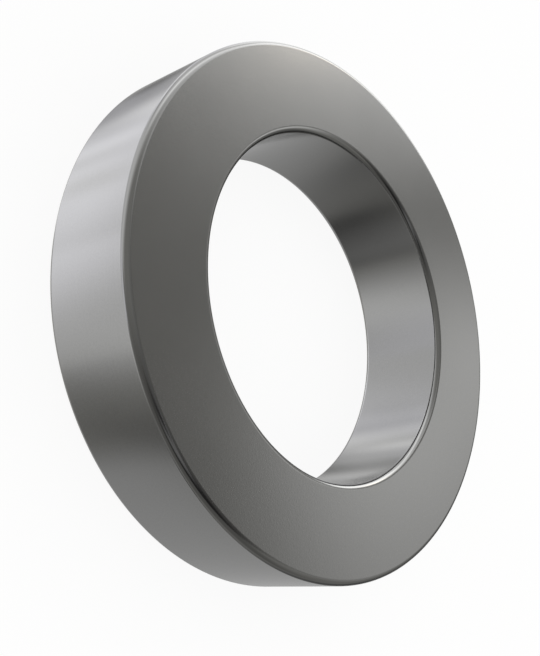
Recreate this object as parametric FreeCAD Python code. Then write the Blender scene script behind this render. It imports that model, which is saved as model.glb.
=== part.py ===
"""Round hole washer: a thick, flat steel ring with a plain round bore and four rounded rims.

Lengths are in millimetres. The washer lies on its lower face, on the plane Z = 0.
The origin is the centre of the bore on that face, and +Z runs up along the bore.
"""
import FreeCAD, Part
import os

# Driving sizes
BORE_DIAMETER = 17.0   # round hole, the fine clearance size for a 16 mm bolt
RING_WIDTH = 4.5       # flat of the ring from bore wall to outer wall, before its rims are rounded
THICKNESS = 5.0        # distance between the two flat faces
RIM_RADIUS = 0.3       # rounding where each flat face meets the outer wall
BORE_RIM_RADIUS = 0.3  # rounding where each flat face meets the bore

# Worked-out sizes
BORE_RADIUS = BORE_DIAMETER / 2
OUTER_RADIUS = BORE_RADIUS + RING_WIDTH
CUTTER_OVERRUN = THICKNESS / 2

AXIS = FreeCAD.Vector(0, 0, 1)


def turned_disc():
    """The full disc, turned to the outer diameter and faced to thickness."""
    return Part.makeCylinder(OUTER_RADIUS, THICKNESS, FreeCAD.Vector(0, 0, 0), AXIS)


def bore_cutter():
    """A round cutter on the axis that runs past both faces."""
    start = FreeCAD.Vector(0, 0, -CUTTER_OVERRUN)
    return Part.makeCylinder(BORE_RADIUS, THICKNESS + 2 * CUTTER_OVERRUN, start, AXIS)


def rims(solid, radius):
    """The full circles of this radius, one where each flat face meets a round wall."""
    circles = [edge for edge in solid.Edges if isinstance(edge.Curve, Part.Circle)]
    return [edge for edge in circles if abs(edge.Curve.Radius - radius) < Part.Precision.confusion()]


def washer_ring():
    """The bored disc with its outer and inner rims rounded on both faces."""
    ring = turned_disc().cut(bore_cutter())
    ring = ring.makeFillet(RIM_RADIUS, rims(ring, OUTER_RADIUS))
    return ring.makeFillet(BORE_RIM_RADIUS, rims(ring, BORE_RADIUS))


os.makedirs("parts", exist_ok=True)
washer_ring().exportStep("parts/washer_ring.step")
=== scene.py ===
"""Dresses the round hole washer: one thick steel ring, turned, ground flat and tumbled to a satin finish.

Everything is in metres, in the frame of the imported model: the washer lies on its lower face on the plane Z = 0,
and the axis of its bore is the Z axis. The ring is spun from its section and its four rims are rounded. It lies
on a pale floor in a plain pale studio, and the camera looks down on it from the photograph's viewing angle.
"""
import math
from collections import namedtuple

import bmesh
import bpy
from mathutils import Matrix, Vector


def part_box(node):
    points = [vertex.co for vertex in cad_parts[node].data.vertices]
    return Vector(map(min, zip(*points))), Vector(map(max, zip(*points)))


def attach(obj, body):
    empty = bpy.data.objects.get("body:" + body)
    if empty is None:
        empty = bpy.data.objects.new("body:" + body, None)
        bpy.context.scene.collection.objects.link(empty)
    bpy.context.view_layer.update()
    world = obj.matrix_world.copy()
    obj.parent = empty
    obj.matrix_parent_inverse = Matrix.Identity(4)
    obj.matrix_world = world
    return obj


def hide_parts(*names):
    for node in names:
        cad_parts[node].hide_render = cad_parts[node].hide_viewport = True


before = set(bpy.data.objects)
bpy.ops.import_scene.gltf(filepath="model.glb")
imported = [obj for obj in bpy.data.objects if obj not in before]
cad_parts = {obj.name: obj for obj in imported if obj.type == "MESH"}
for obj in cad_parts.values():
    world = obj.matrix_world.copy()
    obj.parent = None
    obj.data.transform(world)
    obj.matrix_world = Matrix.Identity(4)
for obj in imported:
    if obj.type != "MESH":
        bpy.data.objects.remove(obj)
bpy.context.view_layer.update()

MM = 0.001
MICRON = 0.000001

# Sizes of the ring
BORE_RADIUS = 8.5 * MM
THICKNESS = 5.0 * MM
RIM_RADIUS = 0.3 * MM
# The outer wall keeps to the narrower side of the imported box, 3 microns under 13 mm, so that the ring stays
# inside it
LOW_CORNER, HIGH_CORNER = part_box("washer_ring")
OUTER_RADIUS = min(HIGH_CORNER.x, HIGH_CORNER.y, -LOW_CORNER.x, -LOW_CORNER.y)

# Fineness of the mesh round the ring and across each rounded rim
STEPS_ROUND = 288
STEPS_ACROSS_RIM = 8


# Small helpers

def linear(hex_colour):
    """Turns an sRGB hex colour to linear red, green and blue, with a full alpha."""
    channels = [int(hex_colour[i:i + 2], 16) / 255 for i in (1, 3, 5)]
    return tuple(c / 12.92 if c <= 0.04045 else ((c + 0.055) / 1.055) ** 2.4 for c in channels) + (1.0,)


def add_node(tree, kind, settings=None, inputs=None):
    """Adds a node, sets its properties, and fills its inputs, which are named or numbered.

    An input takes a value, another node's socket, or another node, which stands for its first output.
    """
    node = tree.nodes.new(kind)
    for name, value in (settings or {}).items():
        setattr(node, name, value)
    for name, value in (inputs or {}).items():
        if isinstance(value, bpy.types.Node):
            value = value.outputs[0]
        if isinstance(value, bpy.types.NodeSocket):
            tree.links.new(value, node.inputs[name])
        else:
            node.inputs[name].default_value = value
    return node


def new_material(name):
    """An empty material, with its node tree."""
    material = bpy.data.materials.new(name)
    material.use_nodes = True
    material.node_tree.nodes.clear()
    return material, material.node_tree


def new_piece(name, shape):
    """A mesh object made from a bmesh. It stays at the origin, unturned, and its place is in its mesh."""
    mesh = bpy.data.meshes.new(name)
    shape.to_mesh(mesh)
    shape.free()
    piece = bpy.data.objects.new(name, mesh)
    bpy.context.scene.collection.objects.link(piece)
    return piece


# The washer

def steel_ring():
    """The washer's ring: its section is spun round the bore's axis, then its four corners are rounded."""
    shape = bmesh.new()
    corners = [shape.verts.new(place) for place in (
        (BORE_RADIUS, 0, 0),
        (OUTER_RADIUS, 0, 0),
        (OUTER_RADIUS, 0, THICKNESS),
        (BORE_RADIUS, 0, THICKNESS),
    )]
    sides = [shape.edges.new((corners[i - 1], corners[i])) for i in range(4)]
    bmesh.ops.spin(
        shape, geom=corners + sides, cent=(0, 0, 0), axis=(0, 0, 1),
        angle=math.tau, steps=STEPS_ROUND, use_merge=True,
    )
    bmesh.ops.remove_doubles(shape, verts=shape.verts, dist=0.1 * MICRON)
    bmesh.ops.recalc_face_normals(shape, faces=shape.faces)
    square_corner = math.radians(60)
    rims = [edge for edge in shape.edges if edge.calc_face_angle(0) > square_corner]
    bmesh.ops.bevel(
        shape, geom=rims, affect="EDGES", offset_type="OFFSET", offset=RIM_RADIUS,
        segments=STEPS_ACROSS_RIM, profile=0.5, material=-1,
    )
    for face in shape.faces:
        face.smooth = True
    piece = new_piece("steel_ring", shape)
    # The wide faces and walls set the shading at their borders, so they shade flat and straight
    piece.modifiers.new("wide_faces_first", "WEIGHTED_NORMAL").weight = 100
    return piece


# Colours of the bare steel, a touch duller or brighter in clouds, and brightest on the rims, which rub the most
DULLER_STEEL = "#9d9d9c"
BRIGHTER_STEEL = "#a9a9a8"
RUBBED_STEEL = "#b0b0af"

# Roughness of a satin ground and tumbled face, and of the smoother rims. The rims' finish comes in over the first
# part of their rounding
SATIN_ROUGHNESS = 0.17
RIM_ROUGHNESS = 0.15
RIM_BLEND = 0.4 * RIM_RADIUS

# Tumbling stones leave a grain of some 0.02 mm. It is drawn at 0.07 mm, the finest that shows
GRAIN_WIDTH = 0.07 * MM
GRAIN_DEPTH_MICRONS = 1.0
# Feed lines of the turning tool on the wall and in the bore, almost polished out. Drawn at 0.13 mm, as fine as shows
FEED_WIDTH = 0.13 * MM
FEED_DEPTH_MICRONS = 0.35
# Clouds where the stones rubbed a little more or less
CLOUD_WIDTH = 3.5 * MM
# The clouds' share of the colour's change. The rest is fine speckle
CLOUD_SHARE = 1 / 3
# How much rougher or smoother the clouds and the grain make the steel
CLOUD_UNEVENNESS = 0.02
GRAIN_UNEVENNESS = 0.015
# The turned wall and bore keep this share of the faces' grain
WALL_GRAIN_SHARE = 0.3


def satin_steel():
    """Bare steel, turned, ground flat and tumbled.

    The eye sees a soft grey metal with blurred reflections, a fine even grain that glitters only at the border of a
    bright reflection, faint feed lines on the wall and in the bore, and slightly brighter, smoother rims.
    """
    material, tree = new_material("satin_tumbled_steel")
    place = add_node(tree, "ShaderNodeTexCoord").outputs["Object"]
    height = add_node(tree, "ShaderNodeSeparateXYZ", inputs={0: place}).outputs["Z"]
    outwards = add_node(tree, "ShaderNodeVectorMath", {"operation": "MULTIPLY"}, {0: place, 1: (1, 1, 0)})
    radius = add_node(tree, "ShaderNodeVectorMath", {"operation": "LENGTH"}, {0: outwards}).outputs["Value"]

    # How far a point of the section is past the flat of a face, and past the flat of a wall
    section = add_node(tree, "ShaderNodeCombineXYZ", inputs={0: radius, 1: height})
    middle = ((OUTER_RADIUS + BORE_RADIUS) / 2, THICKNESS / 2, 0)
    half_flats = ((OUTER_RADIUS - BORE_RADIUS) / 2 - RIM_RADIUS, THICKNESS / 2 - RIM_RADIUS, 0)
    from_middle = add_node(tree, "ShaderNodeVectorMath", {"operation": "SUBTRACT"}, {0: section, 1: middle})
    either_way = add_node(tree, "ShaderNodeVectorMath", {"operation": "ABSOLUTE"}, {0: from_middle})
    past = add_node(tree, "ShaderNodeVectorMath", {"operation": "SUBTRACT"}, {0: either_way, 1: half_flats})
    past_face, past_wall, _ = add_node(tree, "ShaderNodeSeparateXYZ", inputs={0: past}).outputs

    # 1 on the rounded rims
    rim = add_node(tree, "ShaderNodeMapRange", {"interpolation_type": "SMOOTHSTEP"}, {
        "Value": add_node(tree, "ShaderNodeMath", {"operation": "MINIMUM"}, {0: past_face, 1: past_wall}),
        "From Min": 0.0, "From Max": RIM_BLEND, "To Min": 0.0, "To Max": 1.0,
    })
    # 1 on the wall and in the bore, 0 on the two ground faces
    turned = add_node(tree, "ShaderNodeMapRange", {"interpolation_type": "SMOOTHSTEP"}, {
        "Value": past_face, "From Min": 0.0, "From Max": RIM_RADIUS, "To Min": 0.0, "To Max": 1.0,
    })

    cloud = add_node(tree, "ShaderNodeTexNoise", inputs={
        "Vector": place, "Scale": 1 / CLOUD_WIDTH, "Detail": 3.0, "Roughness": 0.55,
    })
    grain = add_node(tree, "ShaderNodeTexNoise", inputs={
        "Vector": place, "Scale": 1 / GRAIN_WIDTH, "Detail": 1.0, "Roughness": 0.5,
    })
    feed = add_node(tree, "ShaderNodeTexNoise", {"noise_dimensions": "1D"}, {
        "W": add_node(tree, "ShaderNodeMath", {"operation": "DIVIDE"}, {0: height, 1: FEED_WIDTH}),
        "Scale": 1.0, "Detail": 1.0, "Roughness": 0.5,
    })

    speckle = add_node(tree, "ShaderNodeMix", {"data_type": "FLOAT"}, {
        "Factor": CLOUD_SHARE, "A": grain, "B": cloud,
    })
    clouded = add_node(tree, "ShaderNodeMix", {"data_type": "RGBA"}, {
        "Factor": speckle, "A": linear(DULLER_STEEL), "B": linear(BRIGHTER_STEEL),
    })
    colour = add_node(tree, "ShaderNodeMix", {"data_type": "RGBA"}, {
        "Factor": rim, "A": clouded.outputs["Result"], "B": linear(RUBBED_STEEL),
    })

    smoother = add_node(tree, "ShaderNodeMapRange", inputs={
        "Value": rim, "To Min": SATIN_ROUGHNESS, "To Max": RIM_ROUGHNESS,
    })
    by_cloud = add_node(tree, "ShaderNodeMapRange", inputs={
        "Value": cloud, "To Min": -CLOUD_UNEVENNESS, "To Max": CLOUD_UNEVENNESS,
    })
    by_grain = add_node(tree, "ShaderNodeMapRange", inputs={
        "Value": grain, "To Min": -GRAIN_UNEVENNESS, "To Max": GRAIN_UNEVENNESS,
    })
    uneven = add_node(tree, "ShaderNodeMath", {"operation": "ADD"}, {0: by_cloud, 1: by_grain})
    roughness = add_node(tree, "ShaderNodeMath", {"operation": "ADD"}, {0: smoother, 1: uneven})

    # Heights in microns. The grain is deep on the faces and shallow on the turned walls, and the feed lines are only
    # on the walls
    grain_depth = add_node(tree, "ShaderNodeMapRange", inputs={
        "Value": turned, "To Min": GRAIN_DEPTH_MICRONS, "To Max": WALL_GRAIN_SHARE * GRAIN_DEPTH_MICRONS,
    })
    feed_depth = add_node(tree, "ShaderNodeMapRange", inputs={
        "Value": turned, "To Min": 0.0, "To Max": FEED_DEPTH_MICRONS,
    })
    grain_height = add_node(tree, "ShaderNodeMath", {"operation": "MULTIPLY"}, {0: grain, 1: grain_depth})
    relief_height = add_node(tree, "ShaderNodeMath", {"operation": "MULTIPLY_ADD"}, {
        0: feed, 1: feed_depth, 2: grain_height,
    })
    relief = add_node(tree, "ShaderNodeBump", inputs={"Strength": 1.0, "Distance": MICRON, "Height": relief_height})

    steel = add_node(tree, "ShaderNodeBsdfPrincipled", inputs={
        "Base Color": colour.outputs["Result"],
        "Metallic": 1.0,
        "Roughness": roughness,
        "Normal": relief,
    })
    add_node(tree, "ShaderNodeOutputMaterial", inputs={"Surface": steel})
    return material


ring = steel_ring()
ring.data.materials.append(satin_steel())
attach(ring, "root")
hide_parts("washer_ring")


# The studio

# Colours of the cards' light: plain white paper, a little cooler by the window side, a little warmer at the back,
# and the warm glow of the key lamp
WHITE = "#ffffff"
COOL = "#fafaff"
WARM = "#fffef9"
GLOW = "#fff5e6"

# Plain cards in a round tent, each laid over the ones before it. Their places were fitted until the steel's soft
# reflections looked as in the photograph. All angles are in degrees: azimuth 0 is the camera's side and 90 is +X,
# an edge fades over so much either way, and a turn leans the card over. Light 1 is a white card in plain light.
Card = namedtuple("Card", "name azimuth elevation half_width half_height side_edge height_edge turn colour light")
# Light of the tent's bare cloth, between the cards
TENT_CLOTH = 0.27
CARDS = (
    Card("below", 179, -81, 330, 35.5, 20, 3.5, 4, WARM, 0.48),
    Card("side_wash", 271, -21, 78.5, 13.5, 3.5, 3.5, -1.5, COOL, 0.92),
    Card("low_lamp", 284.5, -47, 49.5, 9.5, 42.5, 12, -7.5, COOL, 1.89),
    Card("upper_side", 262, 7.5, 66, 27, 3.5, 20, -26, WHITE, 0.82),
    Card("key", 205.5, 18.5, 15.5, 11, 3.5, 4, 14, WHITE, 2.1),
    Card("key_fade", 232, 25.5, 38.5, 2, 14.5, 14.5, -11.5, WHITE, 2.17),
    Card("back_lamp", 156.5, 33.5, 19.5, 7.5, 10, 6, 1.5, WHITE, 2.3),
    Card("back_shade", 146, 30.5, 31, 15.5, 46, 3.5, 30.5, WARM, 0.22),
    Card("back_low_shade", 189, -23.5, 56.5, 5.5, 12, 3.5, -26.5, WARM, 0.04),
    Card("dark_back", 125, -10.5, 39.5, 15.5, 42, 3.5, 21, WHITE, 0.1),
    Card("dark_low", 42, -35, 19.5, 4, 5, 4.5, -0.5, WHITE, 0.07),
    Card("slanted_slot", 201.5, -25.5, 10.5, 43.5, 11.5, 3.5, -46, WHITE, 1.51),
    Card("front_low", -7.5, -38, 16, 12.5, 18.5, 9, 22.5, WHITE, 0.95),
    Card("dark_top", 87, 73.5, 87.5, 27, 46, 3.5, 4, WARM, 0.08),
    Card("dark_left", 48.5, 21, 32, 56, 13, 23, -73.5, WARM, 0.14),
    Card("low_fade", 122.5, -54.5, 79, 20.5, 11, 6.5, 8, WHITE, 0.5),
    Card("low_lamp_end", 248, -33, 11.5, 8, 3.5, 3.5, 46, WHITE, 2.3),
    Card("slanted_shade", 253.5, -26, 3, 24.5, 11.5, 29, -47.5, WHITE, 0),
    Card("slanted_light", 262, -43, 7.5, 22, 8.5, 3.5, 12.5, COOL, 2.3),
    Card("small_shade", 260.5, -35, 3.5, 7, 24.5, 3.5, -23.5, COOL, 0.04),
    Card("dark_strip", 45.5, -42, 20.5, 2, 22, 4, 22, WHITE, 0.01),
    Card("upright_slat", 226, -37.5, 2.5, 10, 3.5, 17, 85, WHITE, 1.09),
    Card("low_slat", 240, -44.5, 17.5, 2, 5, 8.5, -1.5, COOL, 0.79),
    Card("top_cloth", 87, 96, 340, 15, 20, 27.5, -1.5, WHITE, 0.17),
    Card("near_slat", 264.5, -52, 3, 8, 7, 3.5, 7.5, WHITE, 0.77),
    Card("far_slat", 278, -47.5, 5, 2, 3.5, 3.5, 8, WHITE, 1.14),
    Card("bore_shade", 35.5, -30, 11, 2, 5, 17.5, 33.5, WHITE, 0.36),
    Card("key_glow", 202, 28.5, 3, 3.5, 3, 4, -14, GLOW, 4.1),
    Card("dark_slit", 59, 54, 40, 21.5, 25, 3.5, 19.5, WHITE, 0.02),
    Card("grey_slit", 63, 62.5, 38, 7, 10, 6.5, 32.5, WHITE, 0.23),
)
TENT_RADIUS = 500 * MM

# The floor's card, and the share of its look that is plain background white. The rest is lit card, which keeps the
# washer's shadow
FLOOR_RADIUS = 1500 * MM
FLOOR_CARD = "#f7f7f5"
FLOOR_ROUGHNESS = 0.9
FLOOR_WHITE_SHARE = 0.9


def tent_material():
    """Soft white paper cards: their light, worked out from the direction in which the washer sees the tent."""
    material, tree = new_material("studio_tent_cards")
    # Only reflections look for the tent, so it is no lamp for the floor
    material.cycles.emission_sampling = "NONE"
    place = add_node(tree, "ShaderNodeTexCoord").outputs["Object"]
    direction = add_node(tree, "ShaderNodeVectorMath", {"operation": "NORMALIZE"}, {0: place})
    x, y, z = add_node(tree, "ShaderNodeSeparateXYZ", inputs={0: direction}).outputs
    camera_side = add_node(tree, "ShaderNodeMath", {"operation": "MULTIPLY"}, {0: y, 1: -1.0})
    azimuth = add_node(tree, "ShaderNodeMath", {"operation": "ARCTAN2"}, {0: x, 1: camera_side})
    elevation = add_node(tree, "ShaderNodeMath", {"operation": "ARCSINE"}, {0: z})
    angles = add_node(tree, "ShaderNodeCombineXYZ", inputs={0: azimuth, 1: elevation})
    degrees = add_node(tree, "ShaderNodeVectorMath", {"operation": "SCALE"}, {0: angles, "Scale": math.degrees(1)})

    light = tuple(TENT_CLOTH * c for c in linear(WARM))
    for card in CARDS:
        away = add_node(tree, "ShaderNodeVectorMath", {"operation": "SUBTRACT"}, {
            0: degrees, 1: (card.azimuth, card.elevation, 0),
        })
        wrapped = add_node(tree, "ShaderNodeVectorMath", {"operation": "WRAP"}, {
            0: away, 1: (180, 180, 180), 2: (-180, -180, -180),
        })
        turned = add_node(tree, "ShaderNodeVectorRotate", {"rotation_type": "Z_AXIS"}, {
            "Vector": wrapped, "Angle": math.radians(-card.turn),
        })
        distance = add_node(tree, "ShaderNodeVectorMath", {"operation": "ABSOLUTE"}, {0: turned})
        # 1 on the card and 0 beside it, with smooth edges. Inputs 7 to 10 are the range's ends
        cover = add_node(tree, "ShaderNodeMapRange", {
            "data_type": "FLOAT_VECTOR", "interpolation_type": "SMOOTHSTEP",
        }, {
            "Vector": distance,
            7: (card.half_width - card.side_edge, card.half_height - card.height_edge, 0),
            8: (card.half_width + card.side_edge, card.half_height + card.height_edge, 1),
            9: (1, 1, 1),
            10: (0, 0, 0),
        })
        sideways, upwards, _ = add_node(tree, "ShaderNodeSeparateXYZ", inputs={0: cover.outputs["Vector"]}).outputs
        light = add_node(tree, "ShaderNodeMix", {"data_type": "RGBA"}, {
            "Factor": add_node(tree, "ShaderNodeMath", {"operation": "MULTIPLY"}, {0: sideways, 1: upwards}),
            "A": light,
            "B": tuple(card.light * c for c in linear(card.colour)),
        }).outputs["Result"]
    glow = add_node(tree, "ShaderNodeEmission", inputs={"Color": light, "Strength": 1.0})
    add_node(tree, "ShaderNodeOutputMaterial", inputs={"Surface": glow})
    return material


def studio_tent():
    """A round tent of soft cards, which only the metal's reflections see."""
    shape = bmesh.new()
    bmesh.ops.create_uvsphere(shape, u_segments=64, v_segments=32, radius=TENT_RADIUS)
    bmesh.ops.reverse_faces(shape, faces=shape.faces)
    piece = new_piece("studio_tent", shape)
    piece.data.materials.append(tent_material())
    piece.visible_camera = False
    piece.visible_diffuse = False
    piece.visible_transmission = False
    piece.visible_shadow = False


def floor_material():
    """Matt white card. Part of its look is the plain background white, and the rest is lit and takes the shadow."""
    material, tree = new_material("matt_white_card")
    card = add_node(tree, "ShaderNodeBsdfPrincipled", inputs={
        "Base Color": linear(FLOOR_CARD), "Roughness": FLOOR_ROUGHNESS, "Specular IOR Level": 0.0,
    })
    white = add_node(tree, "ShaderNodeEmission", inputs={"Color": linear(WHITE), "Strength": 1.0})
    ray = add_node(tree, "ShaderNodeLightPath").outputs
    mirrored = add_node(tree, "ShaderNodeMath", {"operation": "MAXIMUM"}, {
        0: ray["Is Glossy Ray"], 1: ray["Is Transmission Ray"],
    })
    seen = add_node(tree, "ShaderNodeMath", {"operation": "MAXIMUM"}, {0: ray["Is Camera Ray"], 1: mirrored})
    share = add_node(tree, "ShaderNodeMath", {"operation": "MULTIPLY"}, {0: seen, 1: FLOOR_WHITE_SHARE})
    look = add_node(tree, "ShaderNodeMixShader", inputs={0: share, 1: card, 2: white})
    add_node(tree, "ShaderNodeOutputMaterial", inputs={"Surface": look})
    return material


def pale_floor():
    """The floor that the washer lies on. The tent stands in for it in the metal's reflections."""
    shape = bmesh.new()
    bmesh.ops.create_circle(shape, cap_ends=True, segments=96, radius=FLOOR_RADIUS)
    piece = new_piece("pale_floor", shape)
    piece.data.materials.append(floor_material())
    # In the photograph nothing lies under the washer, so the tent's lower half is what the metal mirrors below it
    piece.visible_glossy = False


def pale_world():
    """Plain white light from all round, at the strength at which a colour renders as it is written."""
    world = bpy.data.worlds.new("pale_world")
    world.use_nodes = True
    world.node_tree.nodes.clear()
    air = add_node(world.node_tree, "ShaderNodeBackground", inputs={"Color": linear(WHITE), "Strength": 1.0})
    add_node(world.node_tree, "ShaderNodeOutputWorld", inputs={"Surface": air})
    # The world is met by rays that pass the tent, and never looked for as a lamp, which would light the metal twice
    world.cycles.sampling_method = "NONE"
    bpy.context.scene.world = world


studio_tent()
pale_floor()
pale_world()


# The camera

# Fitted to the photograph's outlines and rim borders. The camera looks down on the washer, 39 degrees above the
# floor, and is rolled 76 degrees, so that the lying washer stands in the frame as it does there. The small shift is
# the photograph's framing.
CAMERA_PLACE = Vector((-0.106, -37.022, 32.663)) * MM
CAMERA_ELEVATION = math.radians(39.157)
CAMERA_ROLL = math.radians(76.365)
CAMERA_LENS = 52.99
CAMERA_SHIFT = (-0.04604, -0.02569)


def photo_camera():
    """The camera at the photograph's viewing angle."""
    lens = bpy.data.cameras.new("photo_camera")
    lens.sensor_width = 36.0
    lens.lens = CAMERA_LENS
    lens.shift_x, lens.shift_y = CAMERA_SHIFT
    lens.clip_start, lens.clip_end = 1 * MM, 10000 * MM
    camera = bpy.data.objects.new("photo_camera", lens)
    back = Vector((0, -math.cos(CAMERA_ELEVATION), math.sin(CAMERA_ELEVATION)))
    level_right = Vector((1, 0, 0))
    right = level_right * math.cos(CAMERA_ROLL) + back.cross(level_right) * math.sin(CAMERA_ROLL)
    turn = Matrix((right, back.cross(right), back)).transposed().to_4x4()
    camera.matrix_world = Matrix.Translation(CAMERA_PLACE) @ turn
    bpy.context.scene.collection.objects.link(camera)
    bpy.context.scene.camera = camera


photo_camera()
bpy.context.scene.view_settings.view_transform = "Standard"
